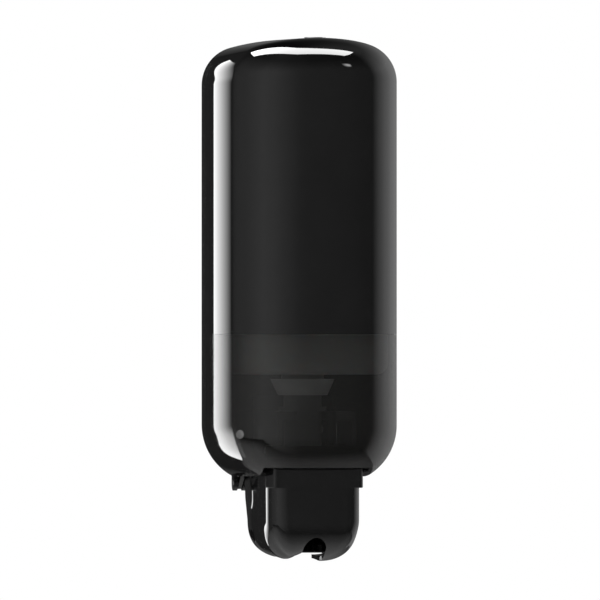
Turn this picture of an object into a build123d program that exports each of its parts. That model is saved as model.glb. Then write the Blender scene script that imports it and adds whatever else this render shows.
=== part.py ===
from build123d import *
import os
from math import cos, sqrt, radians

os.makedirs("parts", exist_ok=True)

# Driving dimensions in millimetres. X runs along the wall, Z is up and the front faces -Y.
# The origin lies on the wall, midway between the four wall screws. A depth is measured from the wall.

# Case envelope, shared by the back plate and the cover
CASE_HALF_WIDTH = 51.6
CASE_DEPTH = 109.0
CASE_TOP = 123.4
CASE_RIM = -123.4
RIM_TRUNCATION = 4.0
SIDE_RADIUS = 600.0
FRONT_RADIUS = 110.0
CORNER_RADIUS = 38.0
CROWN_RADIUS = 134.0
TOP_ROUND = 22.0
BOTTOM_ROUND = 33.0
CASE_WALL = 2.4

# Seam between back plate and cover, and the line where the smoked window starts
SEAM_DEPTH = 15.0
SEAM_GAP = 0.6
WINDOW_TOP = -43.4

# Back plate
BACK_WALL = 3.0
BACK_FLOOR = 3.0
WALL_HOLE_SPACING_X = 60.0
WALL_HOLE_SPACING_Z = 200.0
WALL_HOLE_RADIUS = 2.6
WALL_BOSS_RADIUS = 6.0
WALL_BOSS_HEIGHT = 1.5
REST_RIB_X = 26.0
REST_RIB_THICKNESS = 2.5
REST_RIB_LOW = -50.0
REST_RIB_HIGH = 78.0

# Cover hinge below the case rim
HINGE_DEPTH = 12.0
HINGE_Z = -127.2
HINGE_PIN_RADIUS = 1.5
EAR_RADIUS = 4.5
EAR_SETBACK = 23.1
EAR_CHEEK = 2.2
LUG_THICKNESS = 2.2
LUG_SIDE_GAP = 0.3
LUG_RADIUS = 3.6
LUG_WEB_DEPTH = 24.0
LUG_ROOT = 2.4

# Opening in the cover for the lever
MOUTH_SETBACK = 20.4
MOUTH_TOP = -118.3
MOUTH_CORNER = 3.0

# Running and seating clearances, taken on the radius
PIN_CLEARANCE = 0.05
SEAT_CLEARANCE = 0.1
RUN_CLEARANCE = 0.06

# Push lever
PIVOT_DEPTH = 76.0
PIVOT_Z = -113.0
PIVOT_RADIUS = 2.0
PIVOT_RECESS = 0.4
LEVER_WALL = 2.2
LEVER_REAR_DEPTH = 20.0
LEVER_REAR_HALF = 28.7
LEVER_FRONT_DEPTH = 85.6
LEVER_FRONT_HALF = 25.3
LEVER_CORNER = 9.0
LEVER_TOP = -119.0
LEVER_HOLLOW = 0.5
LEVER_LIP = 1.0
CREASE_Z = -147.9
BOWL_LOW_Z = -171.6
BOWL_LOW_DEPTH = 52.0
BOWL_REAR_DEPTH = 29.0
BOWL_REAR_Z = -170.2
BOWL_REAR_CORNER = 15.0
BOWL_REAR_DRAFT = 3.5
BOWL_FRONT_CORNER = 23.0
BOWL_FRONT_DRAFT = 5.3
BOWL_FLARE = 0.3
REAR_LIP_TOP = -154.0
BAND_LOW = -129.6
BAND_TOP = -117.5
BAND_PROUD = 1.7
BAND_CORNER = 3.0
BAND_REAR_DEPTH = 60.0
CHEEK_TOP = -106.0
CHEEK_REAR_DEPTH = 66.0

# Outlet slot in the lever's bowl
SLOT_HALF_WIDTH = 7.0
SLOT_REAR_DEPTH = 33.0
SLOT_FRONT_DEPTH = 81.5
SLOT_TOP = -151.0

# Pump on its vertical axis
PUMP_DEPTH = 36.0
CHAMBER_RADIUS = 10.75
CHAMBER_BORE = 8.5
CHAMBER_TOP = -74.0
CHAMBER_CROWN = 4.0
CHAMBER_BOTTOM = -112.0
CHAMBER_LIP_RADIUS = 12.0
CHAMBER_LIP = 1.2
CHAMBER_FLANGE_RADIUS = 13.5
CHAMBER_FLANGE = 2.5
INLET_RADIUS = 2.5
BALL_RADIUS = 3.0
CAGE_BORE = 3.3
CAGE_RADIUS = 4.5
CAGE_LENGTH = 10.0
CAGE_FLOOR = 1.5
CAGE_HOLE = 2.0
CAP_HEIGHT = 4.5
CAP_FLOOR = 2.5
CAP_WALL = 1.8
STEM_RADIUS = 6.5
STEM_BORE = 3.0
NOZZLE_TIP = -150.0
NOZZLE_TAPER = 3.0
LIFT_FLANGE_RADIUS = 13.0
LIFT_FLANGE_TOP = -128.0
LIFT_FLANGE = 2.5
PISTON_TOP = -103.0
PISTON_HEIGHT = 6.0
VALVE_RADIUS = 4.4
VALVE_THICKNESS = 2.0
VALVE_HOLE = 0.8
SPRING_INNER = 5.4
SPRING_OUTER = 7.2

# Lift ribs of the lever, under the pump's flange
LIFT_RIB_X = 8.6
LIFT_RIB_THICKNESS = 2.0
LIFT_NOSE = 4.0
LIFT_GAP = 0.3
LIFT_WEB_DROP = 11.0
LIFT_WEB_DEPTH = 52.0

# Pump cradle
SHELF_TOP = -86.7
SHELF_THICKNESS = 5.1
CRADLE_HALF_WIDTH = 22.5
CRADLE_SIDE = 2.5
CRADLE_BACK = 3.0
CRADLE_BACK_TOP = -78.0
CRADLE_BACK_LOW = -116.0
CRADLE_SIDE_DROP = 13.0
CRADLE_NOSE = 5.0
CRADLE_SLOT_GAP = 0.35
CRADLE_SCREW_X = 14.0
CRADLE_SCREW_LOW = -109.0
CRADLE_SCREW_HIGH = -97.0

# Small screws that hold brackets to the back plate
SCREW_RADIUS = 1.5
SCREW_HEAD_RADIUS = 3.0
SCREW_HEAD = 2.0
SCREW_SKIN = 0.8
SCREW_SLOT_WIDTH = 0.8
SCREW_SLOT_DEPTH = 0.8

# Refill bottle and its collar
BOTTLE_HALF_WIDTH = 43.5
BOTTLE_BACK_DEPTH = 8.0
BOTTLE_FRONT_DEPTH = 84.0
BOTTLE_TOP = 90.0
BOTTLE_SHOULDER = -66.0
BOTTLE_CORNER = 18.0
BOTTLE_ROUND = 7.0
BOTTLE_WALL = 1.2
BOTTLE_REST_GAP = 0.3
NECK_RADIUS = 12.0
NECK_BORE = 10.0
SEAL_THICKNESS = 1.0
COLLAR_TOP_RADIUS = 18.2
COLLAR_LOW_RADIUS = 14.0
COLLAR_TOP = -68.5
COLLAR_FLOOR = 2.5

# Key lock in the crest of the cover
LOCK_SETBACK = 33.0
DISH_HALF_LENGTH = 15.0
DISH_HALF_WIDTH = 11.0
DISH_DEPTH = 1.2
LOCK_HOUSING_RADIUS = 8.0
LOCK_FLANGE_RADIUS = 9.6
LOCK_FLANGE = 0.9
LOCK_HOUSING_LOW = 107.0
BARREL_RADIUS = 6.0
BARREL_PROUD = 1.6
BARREL_LOW = 105.0
KEY_SLOT_LENGTH = 8.0
KEY_SLOT_WIDTH = 1.6
KEY_SLOT_DEPTH = 5.0
NUT_RADIUS = 12.0
NUT_HEIGHT = 4.0
NUT_SAG = 0.7
CAM_THICKNESS = 2.0
CAM_HALF_WIDTH = 4.5
CAM_REACH = 18.0
CAM_TIP = 3.0
CAM_TIP_RISE = 2.4
CAM_SCREW_DEPTH = 7.0

# Keeper behind which the cam turns
KEEPER_PLATE = 2.5
KEEPER_HALF_WIDTH = 8.0
KEEPER_LOW = 96.0
KEEPER_HIGH = 119.0
KEEPER_ARM = 2.5
KEEPER_GAP = 0.5
KEEPER_LIP_HALF = 3.5
KEEPER_LIP = 2.0
KEEPER_SCREW_INSET = 5.0

# Return spring on the lever's pivot
COIL_RADIUS = 4.0
COIL_CLEARANCE = 0.5
COIL_START_X = 12.5
COIL_END_X = 19.0
COIL_WIRE = 1.2
COIL_LEG_GAP = 0.4


def arc_crossing(centre_a, radius_a, centre_b, radius_b):
    """Crossing of two circles that lies on the +X side and away from the wall."""
    span_x = centre_b[0] - centre_a[0]
    span_y = centre_b[1] - centre_a[1]
    span = sqrt(span_x**2 + span_y**2)
    along = (radius_a**2 - radius_b**2 + span**2) / (2 * span)
    across = sqrt(radius_a**2 - along**2)
    foot_x = centre_a[0] + along * span_x / span
    foot_y = centre_a[1] + along * span_y / span
    first = (foot_x + across * span_y / span, foot_y - across * span_x / span)
    second = (foot_x - across * span_y / span, foot_y + across * span_x / span)
    return min(first, second, key=lambda point: point[1])


def case_form(inset):
    """Closed envelope of the whole case, drawn in by inset on each outer side and open to the rim plane."""
    half = CASE_HALF_WIDTH - inset
    front = CASE_DEPTH - inset
    side_radius = SIDE_RADIUS - inset
    front_radius = FRONT_RADIUS - inset
    crown_radius = CROWN_RADIUS - inset
    top = CASE_TOP - inset
    low = CASE_RIM - RIM_TRUNCATION + inset
    side_centre = (half - side_radius, 0)
    corner = arc_crossing(side_centre, side_radius, (0, front_radius - front), front_radius)
    corner_left = (-corner[0], corner[1])
    halfway = corner[1] / 2
    side_middle = side_centre[0] + sqrt(side_radius**2 - halfway**2)
    with BuildPart() as form:
        with BuildSketch(Plane.XY.offset(low)):
            with BuildLine():
                ThreePointArc((half, 0), (side_middle, halfway), corner)
                ThreePointArc(corner, (0, -front), corner_left)
                ThreePointArc(corner_left, (-side_middle, halfway), (-half, 0))
                Line((-half, 0), (half, 0))
            plan = make_face()
            fillet(plan.vertices().group_by(Axis.Y)[0], radius=CORNER_RADIUS - inset)
        extrude(amount=top - low)
        with BuildSketch(Plane.XZ):
            with Locations((0, top - crown_radius)):
                Circle(crown_radius)
        extrude(amount=CASE_DEPTH, mode=Mode.INTERSECT)
        crown = form.faces().sort_by(Axis.Z)[-1]
        fillet(crown.edges().filter_by(lambda edge: edge.center().Y < -1), radius=TOP_ROUND - inset)
        floor = form.faces().sort_by(Axis.Z)[0]
        fillet(floor.edges().filter_by(lambda edge: edge.center().Y < -1), radius=BOTTOM_ROUND - inset)
        split(bisect_by=Plane.XY.offset(CASE_RIM), keep=Keep.TOP)
    return form.part


def block(half_width, near_depth, far_depth, low, high):
    """Box centred across X between two depths and two heights."""
    with BuildPart() as solid:
        with BuildSketch(Plane.XY.offset(low)):
            with Locations((0, -(near_depth + far_depth) / 2)):
                Rectangle(2 * half_width, far_depth - near_depth)
        extrude(amount=high - low)
    return solid.part


def slab(start_x, end_x, points):
    """Plate across X with a side outline given as (depth, height) points."""
    with BuildPart() as solid:
        with BuildSketch(Plane.YZ.offset(start_x)):
            with BuildLine():
                Polyline(*[(-depth, height) for depth, height in points], close=True)
            make_face()
        extrude(amount=end_x - start_x)
    return solid.part


def post(radius, low, high, depth, x=0.0):
    """Upright cylinder."""
    with BuildPart() as solid:
        with BuildSketch(Plane.XY.offset(low)):
            with Locations((x, -depth)):
                Circle(radius)
        extrude(amount=high - low)
    return solid.part


def rod(radius, start_x, end_x, depth, height):
    """Cylinder along X."""
    with BuildPart() as solid:
        with BuildSketch(Plane.YZ.offset(start_x)):
            with Locations((-depth, height)):
                Circle(radius)
        extrude(amount=end_x - start_x)
    return solid.part


def bore(radius, near_depth, far_depth, x, height):
    """Cylinder along the depth axis."""
    with BuildPart() as solid:
        with BuildSketch(Plane.XZ.offset(near_depth)):
            with Locations((x, height)):
                Circle(radius)
        extrude(amount=far_depth - near_depth)
    return solid.part


def bracket_screw(seat_depth, x, height):
    """Round-headed screw into the back plate, with its head on a bracket at seat_depth."""
    with BuildPart() as screw:
        add(bore(SCREW_RADIUS, SCREW_SKIN, seat_depth, x, height))
        add(bore(SCREW_HEAD_RADIUS, seat_depth, seat_depth + SCREW_HEAD, x, height))
        with BuildSketch(Plane.XZ.offset(seat_depth + SCREW_HEAD - SCREW_SLOT_DEPTH)):
            with Locations((x, height)):
                Rectangle(2 * SCREW_HEAD_RADIUS, SCREW_SLOT_WIDTH)
        extrude(amount=SCREW_SLOT_DEPTH, mode=Mode.SUBTRACT)
    return screw.part


def save(builder, name):
    """Label a finished piece and write it out."""
    builder.part.label = name
    export_step(builder.part, f"parts/{name}.step")


cradle_seat = BACK_WALL + CRADLE_BACK
cradle_holes = [
    (side * CRADLE_SCREW_X, height)
    for side in (-1, 1)
    for height in (CRADLE_SCREW_LOW, CRADLE_SCREW_HIGH)
]
keeper_seat = BACK_WALL + KEEPER_PLATE
keeper_holes = [(0, KEEPER_LOW + KEEPER_SCREW_INSET), (0, KEEPER_HIGH - KEEPER_SCREW_INSET)]
wall_holes = [
    (side * WALL_HOLE_SPACING_X / 2, level * WALL_HOLE_SPACING_Z / 2)
    for side in (-1, 1)
    for level in (-1, 1)
]
screw_hole = SCREW_RADIUS + PIN_CLEARANCE

lock_depth = CASE_DEPTH - LOCK_SETBACK
mouth_half = CASE_HALF_WIDTH - MOUTH_SETBACK

# Ear positions across X: inner cheek, lug of the cover, outer cheek
ear_start = CASE_HALF_WIDTH - EAR_SETBACK
ear_inner = (ear_start, ear_start + EAR_CHEEK)
lug_x = (ear_inner[1] + LUG_SIDE_GAP, ear_inner[1] + LUG_SIDE_GAP + LUG_THICKNESS)
ear_outer = (lug_x[1] + LUG_SIDE_GAP, lug_x[1] + LUG_SIDE_GAP + EAR_CHEEK)


# Back plate: shallow tray with the wall screws, the hinge ears and two ribs behind the bottle
def ear_cheek(start_x, end_x):
    """Cheek plate with a round end about the hinge line, hung under the tray's floor."""
    ear_top = CASE_RIM + BACK_FLOOR / 2
    outline = [
        (HINGE_DEPTH - EAR_RADIUS, ear_top),
        (SEAM_DEPTH, ear_top),
        (SEAM_DEPTH, HINGE_Z),
        (HINGE_DEPTH - EAR_RADIUS, HINGE_Z),
    ]
    with BuildPart() as cheek:
        add(slab(start_x, end_x, outline))
        add(rod(EAR_RADIUS, start_x, end_x, HINGE_DEPTH, HINGE_Z))
    return cheek.part


with BuildPart() as back_plate:
    add(case_form(0))
    split(bisect_by=Plane.XZ.offset(SEAM_DEPTH), keep=Keep.BOTTOM)
    with BuildPart(mode=Mode.PRIVATE) as tray:
        add(case_form(CASE_WALL))
        add(
            block(CASE_HALF_WIDTH, BACK_WALL, CASE_DEPTH, CASE_RIM + BACK_FLOOR, CASE_TOP),
            mode=Mode.INTERSECT,
        )
    add(tray.part, mode=Mode.SUBTRACT)
    for side in (-1, 1):
        rib_start = side * REST_RIB_X - REST_RIB_THICKNESS / 2
        rib_front = BOTTLE_BACK_DEPTH - BOTTLE_REST_GAP
        add(
            slab(
                rib_start,
                rib_start + REST_RIB_THICKNESS,
                [
                    (BACK_WALL / 2, REST_RIB_LOW),
                    (rib_front, REST_RIB_LOW),
                    (rib_front, REST_RIB_HIGH),
                    (BACK_WALL / 2, REST_RIB_HIGH),
                ],
            )
        )
        for start_x, end_x in (ear_inner, ear_outer):
            add(ear_cheek(min(side * start_x, side * end_x), max(side * start_x, side * end_x)))
    for x, height in wall_holes:
        add(bore(WALL_BOSS_RADIUS, BACK_WALL / 2, BACK_WALL + WALL_BOSS_HEIGHT, x, height))
    for x, height in wall_holes:
        add(bore(WALL_HOLE_RADIUS, 0, BACK_WALL + WALL_BOSS_HEIGHT, x, height), mode=Mode.SUBTRACT)
    for x, height in cradle_holes + keeper_holes:
        add(bore(screw_hole, SCREW_SKIN, BACK_WALL, x, height), mode=Mode.SUBTRACT)
    pin_hole = rod(HINGE_PIN_RADIUS + PIN_CLEARANCE, -ear_outer[1], ear_outer[1], HINGE_DEPTH, HINGE_Z)
    add(pin_hole, mode=Mode.SUBTRACT)
save(back_plate, "back_plate")

# Hinge pins through the ears, one on each side
for name, side in (("hinge_pin_left", -1), ("hinge_pin_right", 1)):
    ends = sorted((side * ear_inner[0], side * ear_outer[1]))
    with BuildPart() as hinge_pin:
        add(rod(HINGE_PIN_RADIUS, ends[0], ends[1], HINGE_DEPTH, HINGE_Z))
    save(hinge_pin, name)

# Pump cradle: back flange, slotted shelf and two side plates that carry the lever's pivot
shelf_low = SHELF_TOP - SHELF_THICKNESS
cradle_front = PIVOT_DEPTH + CRADLE_NOSE
cradle_inner = CRADLE_HALF_WIDTH - CRADLE_SIDE
with BuildPart() as pump_cradle:
    add(block(CRADLE_HALF_WIDTH, BACK_WALL, cradle_seat, CRADLE_BACK_LOW, CRADLE_BACK_TOP))
    add(block(CRADLE_HALF_WIDTH, BACK_WALL, cradle_front, shelf_low, SHELF_TOP))
    side_low = shelf_low - CRADLE_SIDE_DROP
    side_outline = [
        (BACK_WALL, SHELF_TOP),
        (cradle_front, SHELF_TOP),
        (cradle_front, PIVOT_Z),
        (PIVOT_DEPTH - CRADLE_NOSE, PIVOT_Z),
        (PIVOT_DEPTH - 3 * CRADLE_NOSE, side_low),
        (BACK_WALL, side_low),
    ]
    for start_x in (-CRADLE_HALF_WIDTH, cradle_inner):
        add(slab(start_x, start_x + CRADLE_SIDE, side_outline))
        add(rod(CRADLE_NOSE, start_x, start_x + CRADLE_SIDE, PIVOT_DEPTH, PIVOT_Z))
    slot_radius = CHAMBER_RADIUS + CRADLE_SLOT_GAP
    add(post(slot_radius, shelf_low, SHELF_TOP, PUMP_DEPTH), mode=Mode.SUBTRACT)
    add(block(slot_radius, PUMP_DEPTH, cradle_front, shelf_low, SHELF_TOP), mode=Mode.SUBTRACT)
    pivot_hole = rod(
        PIVOT_RADIUS + PIN_CLEARANCE, -CRADLE_HALF_WIDTH, CRADLE_HALF_WIDTH, PIVOT_DEPTH, PIVOT_Z
    )
    add(pivot_hole, mode=Mode.SUBTRACT)
    for x, height in cradle_holes:
        add(bore(screw_hole, BACK_WALL, cradle_seat, x, height), mode=Mode.SUBTRACT)
save(pump_cradle, "pump_cradle")

with BuildPart() as cradle_screws:
    for x, height in cradle_holes:
        add(bracket_screw(cradle_seat, x, height))
save(cradle_screws, "cradle_screws")

# Keeper: bent arm from the back plate with a short lip in front of the cam's tip
cam_high = BARREL_LOW
tip_high = cam_high + CAM_TIP_RISE
arm_low = tip_high + KEEPER_GAP
lip_rear = lock_depth - CAM_REACH + CAM_TIP + 2 * KEEPER_GAP
lip_front = lip_rear + KEEPER_LIP
with BuildPart() as lock_keeper:
    add(block(KEEPER_HALF_WIDTH, BACK_WALL, keeper_seat, KEEPER_LOW, KEEPER_HIGH))
    add(block(KEEPER_HALF_WIDTH, BACK_WALL, lip_front, arm_low, arm_low + KEEPER_ARM))
    add(block(KEEPER_LIP_HALF, lip_rear, lip_front, cam_high + KEEPER_GAP, arm_low + KEEPER_ARM))
    for x, height in keeper_holes:
        add(bore(screw_hole, BACK_WALL, keeper_seat, x, height), mode=Mode.SUBTRACT)
save(lock_keeper, "lock_keeper")

with BuildPart() as keeper_screws:
    for x, height in keeper_holes:
        add(bracket_screw(keeper_seat, x, height))
save(keeper_screws, "keeper_screws")

# Refill bottle: thin moulded shell with its neck downwards over the pump
neck_low = CHAMBER_TOP + SEAL_THICKNESS
bottle_middle = (BOTTLE_BACK_DEPTH + BOTTLE_FRONT_DEPTH) / 2


def bottle_form(inset):
    """Rounded box of the bottle's body, drawn in by inset."""
    with BuildPart() as form:
        with BuildSketch(Plane.XY.offset(BOTTLE_SHOULDER + inset)):
            with Locations((0, -bottle_middle)):
                RectangleRounded(
                    2 * (BOTTLE_HALF_WIDTH - inset),
                    BOTTLE_FRONT_DEPTH - BOTTLE_BACK_DEPTH - 2 * inset,
                    BOTTLE_CORNER - inset,
                )
        extrude(amount=BOTTLE_TOP - BOTTLE_SHOULDER - 2 * inset)
        ends = form.edges().group_by(Axis.Z)
        fillet(ends[0] + ends[-1], radius=BOTTLE_ROUND - inset)
    return form.part


with BuildPart() as soap_bottle:
    add(bottle_form(0))
    add(post(NECK_RADIUS, neck_low, BOTTLE_SHOULDER + BOTTLE_WALL, PUMP_DEPTH))
    add(bottle_form(BOTTLE_WALL), mode=Mode.SUBTRACT)
    add(post(NECK_BORE, neck_low, BOTTLE_SHOULDER + 2 * BOTTLE_WALL, PUMP_DEPTH), mode=Mode.SUBTRACT)
save(soap_bottle, "soap_bottle")

with BuildPart() as bottle_seal:
    add(post(NECK_RADIUS, CHAMBER_TOP, neck_low, PUMP_DEPTH))
    add(post(CHAMBER_BORE, CHAMBER_TOP, neck_low, PUMP_DEPTH), mode=Mode.SUBTRACT)
save(bottle_seal, "bottle_seal")

# Collar: conical screw ring that clamps the pump's lip and the seal against the neck
lip_low = CHAMBER_TOP - CHAMBER_LIP
collar_low = lip_low - COLLAR_FLOOR
with BuildPart() as bottle_collar:
    with BuildSketch(Plane.XY.offset(collar_low)):
        with Locations((0, -PUMP_DEPTH)):
            Circle(COLLAR_LOW_RADIUS)
    with BuildSketch(Plane.XY.offset(COLLAR_TOP)):
        with Locations((0, -PUMP_DEPTH)):
            Circle(COLLAR_TOP_RADIUS)
    loft()
    add(post(NECK_RADIUS + SEAT_CLEARANCE, lip_low, COLLAR_TOP, PUMP_DEPTH), mode=Mode.SUBTRACT)
    add(post(CHAMBER_RADIUS + SEAT_CLEARANCE, collar_low, lip_low, PUMP_DEPTH), mode=Mode.SUBTRACT)
save(bottle_collar, "bottle_collar")

# Pump chamber: bored cylinder with a clamping lip, a flange on the shelf and a cage for the inlet ball
chamber_crown = CHAMBER_TOP - CHAMBER_CROWN
cage_low = chamber_crown - CAGE_LENGTH
with BuildPart() as pump_chamber:
    add(post(CHAMBER_RADIUS, CHAMBER_BOTTOM, CHAMBER_TOP, PUMP_DEPTH))
    add(post(CHAMBER_LIP_RADIUS, lip_low, CHAMBER_TOP, PUMP_DEPTH))
    add(post(CHAMBER_FLANGE_RADIUS, SHELF_TOP, SHELF_TOP + CHAMBER_FLANGE, PUMP_DEPTH))
    add(post(CHAMBER_BORE, CHAMBER_BOTTOM, chamber_crown, PUMP_DEPTH), mode=Mode.SUBTRACT)
    add(post(CAGE_RADIUS, cage_low, chamber_crown, PUMP_DEPTH))
    add(post(CAGE_BORE, cage_low + CAGE_FLOOR, chamber_crown, PUMP_DEPTH), mode=Mode.SUBTRACT)
    add(post(CAGE_HOLE, cage_low, chamber_crown, PUMP_DEPTH), mode=Mode.SUBTRACT)
    add(post(INLET_RADIUS, chamber_crown, CHAMBER_TOP, PUMP_DEPTH), mode=Mode.SUBTRACT)
save(pump_chamber, "pump_chamber")

ball_seat = sqrt((BALL_RADIUS + SEAT_CLEARANCE) ** 2 - CAGE_HOLE**2)
with BuildPart() as inlet_valve_ball:
    with Locations((0, -PUMP_DEPTH, cage_low + CAGE_FLOOR + ball_seat)):
        Sphere(BALL_RADIUS)
save(inlet_valve_ball, "inlet_valve_ball")

# Cap on the chamber's lower end, which guides the stem
cap_low = CHAMBER_BOTTOM - CAP_FLOOR
with BuildPart() as pump_cap:
    add(post(CHAMBER_RADIUS + CAP_WALL, cap_low, cap_low + CAP_HEIGHT, PUMP_DEPTH))
    add(
        post(CHAMBER_RADIUS + SEAT_CLEARANCE, CHAMBER_BOTTOM, cap_low + CAP_HEIGHT, PUMP_DEPTH),
        mode=Mode.SUBTRACT,
    )
    add(post(STEM_RADIUS + RUN_CLEARANCE, cap_low, CHAMBER_BOTTOM, PUMP_DEPTH), mode=Mode.SUBTRACT)
save(pump_cap, "pump_cap")

# Piston, stem with its lift flange, and the slit valve in the nozzle's tip
piston_low = PISTON_TOP - PISTON_HEIGHT
with BuildPart() as pump_piston:
    add(post(CHAMBER_BORE - RUN_CLEARANCE, piston_low, PISTON_TOP, PUMP_DEPTH))
    add(post(STEM_BORE, piston_low, PISTON_TOP, PUMP_DEPTH), mode=Mode.SUBTRACT)
save(pump_piston, "pump_piston")

with BuildPart() as pump_nozzle:
    add(post(STEM_RADIUS, NOZZLE_TIP, piston_low, PUMP_DEPTH))
    tip = pump_nozzle.faces().sort_by(Axis.Z)[0]
    chamfer(tip.edges(), length=NOZZLE_TAPER, length2=NOZZLE_TAPER / 3)
    add(post(LIFT_FLANGE_RADIUS, LIFT_FLANGE_TOP - LIFT_FLANGE, LIFT_FLANGE_TOP, PUMP_DEPTH))
    add(post(STEM_BORE, NOZZLE_TIP, piston_low, PUMP_DEPTH), mode=Mode.SUBTRACT)
    add(
        post(VALVE_RADIUS + PIN_CLEARANCE, NOZZLE_TIP, NOZZLE_TIP + VALVE_THICKNESS, PUMP_DEPTH),
        mode=Mode.SUBTRACT,
    )
save(pump_nozzle, "pump_nozzle")

with BuildPart() as outlet_valve:
    add(post(VALVE_RADIUS, NOZZLE_TIP, NOZZLE_TIP + VALVE_THICKNESS, PUMP_DEPTH))
    add(post(VALVE_HOLE, NOZZLE_TIP, NOZZLE_TIP + VALVE_THICKNESS, PUMP_DEPTH), mode=Mode.SUBTRACT)
save(outlet_valve, "outlet_valve")

# Pump spring between the chamber's crown and the piston, as the sleeve that its turns fill
with BuildPart() as pump_spring:
    add(post(SPRING_OUTER, PISTON_TOP, chamber_crown, PUMP_DEPTH))
    add(post(SPRING_INNER, PISTON_TOP, chamber_crown, PUMP_DEPTH), mode=Mode.SUBTRACT)
save(pump_spring, "pump_spring")


# Push lever: hood with a band at its top, a hollowed front and a bowl with the outlet slot
taper = (LEVER_REAR_HALF - LEVER_FRONT_HALF) / (LEVER_FRONT_DEPTH - LEVER_REAR_DEPTH)


def lever_plan(front_half, rear_half, front_depth, rear_depth, corner, low, high):
    """Upright prism with a tapered plan, rounded at its two front corners."""
    with BuildPart() as prism:
        with BuildSketch(Plane.XY.offset(low)):
            with BuildLine():
                Polyline(
                    (-rear_half, -rear_depth),
                    (-front_half, -front_depth),
                    (front_half, -front_depth),
                    (rear_half, -rear_depth),
                    close=True,
                )
            plan = make_face()
            fillet(plan.vertices().group_by(Axis.Y)[0], radius=corner)
        extrude(amount=high - low)
    return prism.part


def lever_half(depth):
    """Half width of the hood's tapering side at a depth."""
    return LEVER_REAR_HALF + taper * (LEVER_REAR_DEPTH - depth)


def bowl_outline(inset, low, top):
    """Front view of the hood with rounded lower corners, lofted from the wall plane to past its front."""
    past_front = LEVER_FRONT_DEPTH + 1
    sections = (
        (0.0, BOWL_REAR_DRAFT, BOWL_REAR_CORNER),
        (past_front, BOWL_FRONT_DRAFT, BOWL_FRONT_CORNER),
    )
    with BuildPart() as outline:
        for depth, draft, corner in sections:
            half = lever_half(depth) + BOWL_FLARE - inset
            with BuildSketch(Plane.XZ.offset(depth)):
                with BuildLine():
                    Polyline(
                        (-half, top),
                        (-half, CREASE_Z),
                        (-half + draft, low),
                        (half - draft, low),
                        (half, CREASE_Z),
                        (half, top),
                        close=True,
                    )
                section = make_face()
                fillet(section.vertices().group_by(Axis.Y)[0], radius=corner - inset)
        loft()
    return outline.part


def lever_form(inset, rear_run, top_run):
    """Hood drawn in by inset: a side outline, a plan and a rounded front outline, all three crossed."""
    front = LEVER_FRONT_DEPTH - inset
    rear = LEVER_REAR_DEPTH - rear_run
    top = LEVER_TOP + top_run
    low = BOWL_LOW_Z + inset
    rear_low = (-(BOWL_REAR_DEPTH - rear_run), BOWL_REAR_Z + inset)
    bowl_front = (-front, CREASE_Z)
    bowl_bottom = (-BOWL_LOW_DEPTH, low)
    reach = front - BOWL_LOW_DEPTH
    drop = CREASE_Z - low
    hollow = (-(front - LEVER_HOLLOW), (LEVER_TOP + CREASE_Z) / 2)
    side_half = LEVER_REAR_HALF - inset
    with BuildPart() as form:
        with BuildSketch(Plane.YZ):
            with BuildLine():
                Line((-rear, top), (-front, top))
                Line((-front, top), (-front, LEVER_TOP - LEVER_LIP))
                ThreePointArc((-front, LEVER_TOP - LEVER_LIP), hollow, bowl_front)
                EllipticalCenterArc((-BOWL_LOW_DEPTH, CREASE_Z), reach, drop, 180, arc_size=90)
                Line(bowl_bottom, rear_low)
                Line(rear_low, (-rear, top))
            make_face()
        extrude(amount=LEVER_REAR_HALF, both=True)
        add(
            lever_plan(
                LEVER_FRONT_HALF - inset,
                side_half,
                front,
                rear - 1,
                LEVER_CORNER - inset,
                low - 1,
                top,
            ),
            mode=Mode.INTERSECT,
        )
        add(bowl_outline(inset, low, top), mode=Mode.INTERSECT)
    return form.part


open_run = 3 * LEVER_WALL
band_front = LEVER_FRONT_DEPTH + BAND_PROUD
band_front_half = LEVER_FRONT_HALF + BAND_PROUD


def band_half(depth):
    """Half width of the band's outer face at a depth."""
    return band_front_half + taper * (band_front - depth)


def band_prism(inset, rear_depth, low, high):
    """Upper part of the hood, drawn in by inset, from rear_depth to the band's front."""
    return lever_plan(
        band_front_half - inset,
        band_half(rear_depth) - inset,
        band_front - inset,
        rear_depth,
        BAND_CORNER + BAND_PROUD if inset else BAND_CORNER,
        low,
        high,
    )


def rear_depth_at(height):
    """Depth of the hood's leaning rear edge at a height."""
    return LEVER_REAR_DEPTH + (BOWL_REAR_DEPTH - LEVER_REAR_DEPTH) * (height - LEVER_TOP) / (
        BOWL_REAR_Z - LEVER_TOP
    )


def rear_lip():
    """Low wall across the rear of the bowl, within the hood's own outline."""
    high_depth = rear_depth_at(REAR_LIP_TOP)
    low_depth = rear_depth_at(BOWL_LOW_Z)
    outline = [
        (high_depth, REAR_LIP_TOP),
        (high_depth + LEVER_WALL, REAR_LIP_TOP),
        (low_depth + LEVER_WALL, BOWL_LOW_Z),
        (low_depth, BOWL_LOW_Z),
    ]
    with BuildPart() as lip:
        add(slab(-LEVER_REAR_HALF, LEVER_REAR_HALF, outline))
        add(lever_form(0, 0, 0), mode=Mode.INTERSECT)
    return lip.part


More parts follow.
